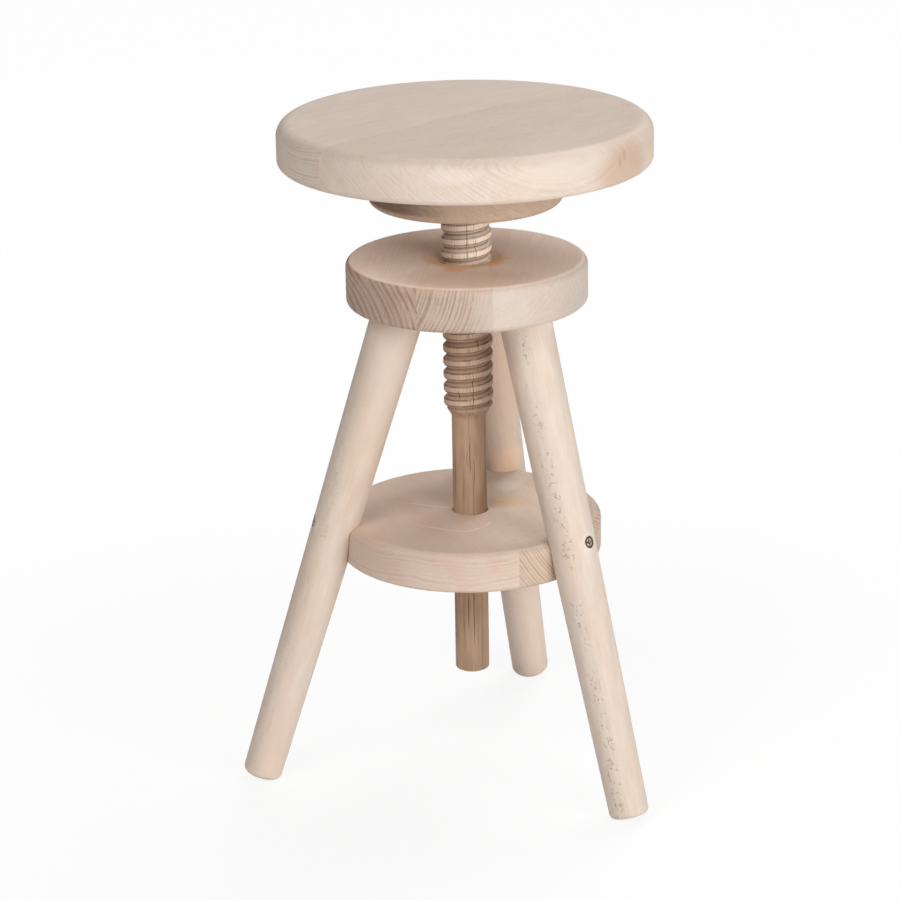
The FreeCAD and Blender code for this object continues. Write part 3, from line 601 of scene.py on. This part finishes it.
for name, azimuth in LEG_AZIMUTHS.items():
    finish = LEG_FINISH[name]
    spot = math.radians(azimuth)
    lean = math.radians(azimuth + LEG_LEAN_TURN)
    outward = Vector((math.cos(lean), math.sin(lean), 0.0))
    top = Vector((LEG_TOP_RADIUS * math.cos(spot), LEG_TOP_RADIUS * math.sin(spot), LEG_TOP_HEIGHT))
    along = Vector((0.0, 0.0, math.cos(LEG_SPLAY))) - outward * math.sin(LEG_SPLAY)
    side = outward.cross(Vector((0.0, 0.0, 1.0)))
    material = beech(
        name.replace("_", " ").capitalize() + " beech", (along, side, top + side * LEG_PITH_AWAY),
        finish["pale"], DARK, ring_width=0.0040, flat_lines=0.06, edge_lines=0.06, tone=0.15,
        fibre=0.45, mottle=0.50, rays=0.06, blush=finish["blush"])
    place = grain_frame(material.node_tree, along, Vector((0.0, 1.0, 0.0)), top)[0]
    flecks = put(material.node_tree, "ShaderNodeGroup", node_tree=bpy.data.node_groups["Worm flecks"])
    material.node_tree.links.new(place, flecks.inputs["Vector"])
    for key, value in (("Side", finish["side"]), ("Band", FLECK_BAND), ("Share", finish["flecks"])):
        flecks.inputs[key].default_value = value
    tint_where(material, flecks.outputs[0], FLECK_TINT)
    leg_beech[name] = material
    finish_with(pieces[name], material)
for leg, *values in LEG_PATCHES.values():
    add_patch(leg_beech[leg], *values)

# Guide disc
# Two beech boards glued edge to edge, turned, bored for the spindle's shaft and coved at the
# rim so that the legs nest in it. The left board's top shows two pale pointed growth lines.
LOWER_GRAIN = 106.5
guide_left = beech(
    "Guide disc left board beech", in_board(LOWER_GRAIN, offset=0.06, height=0.62),
    (0.68, 0.54, 0.45), (0.45, 0.32, 0.245), ring_width=0.0036, wander=0.014, flat_lines=0.01,
    edge_lines=0.40, fibre=0.25, mottle=0.1, rays=-0.12, blush=0.6, shade=0.24, edge_shade=0.05)
guide_right = beech(
    "Guide disc right board beech", in_board(LOWER_GRAIN, offset=-0.18, height=0.34),
    (0.68, 0.57, 0.48), (0.42, 0.29, 0.20), wander=0.002, flat_lines=0.01, edge_lines=0.95,
    fibre=0.25, mottle=0.1, blush=0.5, edge_shade=0.15)

# The pointed lines: rounded arrow shapes that open along the grain, one behind the other
POINT_PLACE = (0.0, -0.057, 0.0)
POINT_ROUNDING = 0.012
POINT_STEP = 0.066
POINT_WANDER = 0.012
LINE_HALF = 0.0014
LINE_TINT = (0.80, 0.71, 0.64)
turn = math.radians(LOWER_GRAIN)
point_tree = guide_left.node_tree
point_spot = weave(point_tree, "SUBTRACT", object_place(point_tree), POINT_PLACE)
point_bend = stretched_noise(point_tree, point_spot, (30.0, 30.0, 30.0))
lengthwise = weave(point_tree, "DOT_PRODUCT", point_spot, (math.cos(turn), math.sin(turn), 0.0))
sideways = weave(point_tree, "DOT_PRODUCT", point_spot, (-math.sin(turn), math.cos(turn), 0.0))
arm = calc(point_tree, "SQRT", times_plus(point_tree, sideways, sideways, POINT_ROUNDING ** 2))
level_line = calc(point_tree, "SUBTRACT", calc(point_tree, "ADD", lengthwise, POINT_ROUNDING), arm)
level_line = times_plus(point_tree, centred(point_tree, point_bend), POINT_WANDER, level_line)
normal = put(point_tree, "ShaderNodeTexCoord").outputs["Normal"]
on_top = spread(point_tree, parts_of(point_tree, normal)[2], 0.9, 1.0)
point_fade = spread(point_tree, calc(point_tree, "ABSOLUTE", sideways), 0.028, 0.054, 0.55, 0.0)
for step in (0.0, POINT_STEP):
    off = calc(point_tree, "ABSOLUTE", calc(point_tree, "SUBTRACT", level_line, step))
    line = times(point_tree, point_fade, spread(point_tree, off, LINE_HALF * 0.4, LINE_HALF, 1.0, 0.0))
    tint_where(guide_left, times(point_tree, line, on_top), LINE_TINT)
GUIDE_PATCHES = {
    "amber by the shaft": ((0.034, 0.020, 0.243), (0.026, 0.022, 0.010), (0.60, 0.41, 0.25), 0.75, 0.4),
    "darker heart of it": ((0.027, 0.012, 0.243), (0.015, 0.013, 0.010), (0.52, 0.34, 0.20), 0.50, 0.4),
    "pale behind it": ((0.034, 0.062, 0.243), (0.016, 0.022, 0.010), (0.78, 0.70, 0.64), 0.5, 0.6),
}
for disc_beech in (guide_left, guide_right):
    for values in GUIDE_PATCHES.values():
        add_patch(disc_beech, *values)
LEFT_RIM_TAN = ((-0.092, -0.066, 0.234), (0.030, 0.036, 0.026), (0.64, 0.45, 0.34), 0.55, 0.6)
RIGHT_RIM_MARK = ((0.114, -0.034, 0.234), (0.012, 0.012, 0.008), (0.50, 0.32, 0.235), 0.55, 0.6)
add_patch(guide_left, *LEFT_RIM_TAN)
add_patch(guide_right, *RIGHT_RIM_MARK)
finish_with(pieces["lower_board_left"], guide_left)
finish_with(pieces["lower_board_right"], guide_right)

# Screws
# Countersunk wood screws of browned steel with a cross recess: one through each leg into the
# guide disc, four up through the plate, and one down the spindle's axis. A lighter ring about
# each recess and a faint ring at the head's rim are painted highlights.
UPWARD = (0.0, 0.0, 1.0)
PLATE_SCREW_RADIUS = 0.059
SCREW_LINES = (
    ((-0.14002, -0.03699, 0.24743), (-0.9357, -0.1836, 0.3013)),
    ((0.10376, -0.10109, 0.24737), (0.7141, -0.6332, 0.2984)),
    ((0.03700, 0.14007, 0.24741), (0.2590, 0.9179, 0.3006)),
    ((PLATE_SCREW_RADIUS, 0.0, 0.0), UPWARD),
    ((-PLATE_SCREW_RADIUS, 0.0, 0.0), UPWARD),
    ((0.0, PLATE_SCREW_RADIUS, 0.0), UPWARD),
    ((0.0, -PLATE_SCREW_RADIUS, 0.0), UPWARD),
    ((0.0, 0.0, 0.0), UPWARD),
)
BROWNED_DARK = (0.105, 0.068, 0.036, 1.0)
BROWNED_LIGHT = (0.20, 0.138, 0.085, 1.0)
HIGHLIGHT_RING = (0.95, 0.84, 0.68, 1.0)
GLINT_RIM = (0.50, 0.42, 0.32, 1.0)
browned = bpy.data.materials.new("Browned screw steel")
browned.use_nodes = True
browned_tree = browned.node_tree
browned_shader = browned_tree.nodes["Principled BSDF"]
browned_spot = object_place(browned_tree)

# The distance from the nearest screw's own line
from_screw = 1.0
for place, line in SCREW_LINES:
    away = weave(browned_tree, "CROSS_PRODUCT", weave(browned_tree, "SUBTRACT", browned_spot, place), line)
    from_screw = calc(browned_tree, "MINIMUM", weave(browned_tree, "LENGTH", away), from_screw)
tarnish = stretched_noise(browned_tree, browned_spot, (700.0, 700.0, 700.0), detail=3.0)
steel = blend(browned_tree, spread(browned_tree, tarnish, 0.35, 0.65), BROWNED_DARK, BROWNED_LIGHT)
# Painted highlight: a lighter ring about each recess
past_recess = spread(browned_tree, from_screw, 0.0017, 0.0021)
within_ring = spread(browned_tree, from_screw, 0.0031, 0.0036, 1.0, 0.0)
painted_highlight = times(browned_tree, past_recess, within_ring)
painted_highlight = times(browned_tree, painted_highlight, spread(browned_tree, tarnish, 0.3, 0.6, 0.5, 1.0))
steel = blend(browned_tree, painted_highlight, steel, HIGHLIGHT_RING)
# Painted glint on the head's rim
rim_glint = times(browned_tree, spread(browned_tree, from_screw, 0.0050, 0.0053), 0.35)
steel = blend(browned_tree, rim_glint, steel, GLINT_RIM)
dullness = spread(browned_tree, tarnish, 0.3, 0.7, 0.25, 0.40)
browned_tree.links.new(steel, browned_shader.inputs["Base Color"])
browned_tree.links.new(dullness, browned_shader.inputs["Roughness"])
browned_shader.inputs["Metallic"].default_value = 0.55
for name in ("leg_screws", "plate_screws", "spindle_screw"):
    finish_with(pieces[name], browned)

# Floor and light
# A plain white studio floor, brighter away from the stool, under one wide soft light from the
# right front, one from the left front and one from behind.
FLOOR_SIZE = 40.0
FLOOR_WHITE = (0.92, 0.92, 0.92, 1.0)
FULL_WHITE = (1.0, 1.0, 1.0, 1.0)
bpy.ops.mesh.primitive_plane_add(size=FLOOR_SIZE, location=(0.0, 0.0, 0.0))
floor = bpy.context.active_object
floor.name = "Floor"
white = bpy.data.materials.new("White floor")
white.use_nodes = True
white_tree = white.node_tree
white_shader = white_tree.nodes["Principled BSDF"]
white_shader.inputs["Base Color"].default_value = FLOOR_WHITE
white_shader.inputs["Roughness"].default_value = 0.9
white_glow = put(white_tree, "ShaderNodeEmission", {"Color": FULL_WHITE, "Strength": 1.0})
from_stool = weave(white_tree, "LENGTH", object_place(white_tree))
glow_share = spread(white_tree, from_stool, 0.15, 0.9, 0.86, 0.98)
white_seen = put(white_tree, "ShaderNodeLightPath").outputs["Is Camera Ray"]
white_mix = put(white_tree, "ShaderNodeMixShader", {
    0: times(white_tree, glow_share, white_seen), 1: white_shader.outputs[0], 2: white_glow.outputs[0]})
white_tree.links.new(white_mix.outputs[0], white_tree.nodes["Material Output"].inputs["Surface"])
finish_with(floor, white)

ROOM_LIGHT = 0.15
BACKDROP_WHITE = 0.97
world = bpy.data.worlds.new("Studio")
world.use_nodes = True
world_tree = world.node_tree
backdrop = world_tree.nodes["Background"]
backdrop.inputs["Color"].default_value = FULL_WHITE
seen = put(world_tree, "ShaderNodeLightPath").outputs["Is Camera Ray"]
strength = spread(world_tree, seen, 0.0, 1.0, ROOM_LIGHT, BACKDROP_WHITE)
world_tree.links.new(strength, backdrop.inputs["Strength"])
bpy.context.scene.world = world

LIGHT_TARGET = Vector((0.0, 0.0, 0.35))
LIGHT_DISTANCE = 3.0


def soft_light(name, azimuth, elevation, size, power):
    """A square light that faces the stool's middle, from an azimuth and elevation in degrees."""
    turn = math.radians(azimuth)
    rise = math.radians(elevation)
    way = Vector((math.cos(turn) * math.cos(rise), math.sin(turn) * math.cos(rise), math.sin(rise)))
    data = bpy.data.lights.new(name, "AREA")
    data.shape = "SQUARE"
    data.size = size
    data.energy = power
    light = bpy.data.objects.new(name, data)
    facing = way.to_track_quat("Z", "Y").to_matrix().to_4x4()
    light.matrix_world = Matrix.Translation(LIGHT_TARGET + way * LIGHT_DISTANCE) @ facing
    bpy.context.scene.collection.objects.link(light)


soft_light("Right front light", azimuth=310.0, elevation=15.0, size=1.8, power=62.0)
soft_light("Left front light", azimuth=240.0, elevation=40.0, size=1.6, power=40.0)
soft_light("Back light", azimuth=62.0, elevation=50.0, size=1.6, power=46.0)

# Camera
# A long lens at about twice the seat's height, where the photograph was taken. It looks down
# at the stool, and is turned and rolled by less than a degree each.
CAMERA_PLACE = Vector((0.0, -2.62196, 1.20194))
CAMERA_FALL = math.radians(18.981)
CAMERA_TURN = math.radians(-0.383)
CAMERA_ROLL = math.radians(-0.973)
SENSOR_WIDTH = 36.0
LENS_LENGTH = 122.66
ahead = Vector((
    math.sin(CAMERA_TURN) * math.cos(CAMERA_FALL),
    math.cos(CAMERA_TURN) * math.cos(CAMERA_FALL),
    -math.sin(CAMERA_FALL),
))
level_right = Vector((math.cos(CAMERA_TURN), -math.sin(CAMERA_TURN), 0.0))
level_up = level_right.cross(ahead)
right = level_right * math.cos(CAMERA_ROLL) + level_up * math.sin(CAMERA_ROLL)
up = level_up * math.cos(CAMERA_ROLL) - level_right * math.sin(CAMERA_ROLL)
camera_data = bpy.data.cameras.new("Camera")
camera_data.sensor_width = SENSOR_WIDTH
camera_data.lens = LENS_LENGTH
camera = bpy.data.objects.new("Camera", camera_data)
camera.matrix_world = Matrix.Translation(CAMERA_PLACE) @ Matrix((right, up, -ahead)).transposed().to_4x4()
bpy.context.scene.collection.objects.link(camera)
bpy.context.scene.camera = camera
bpy.context.scene.view_settings.view_transform = "Standard"
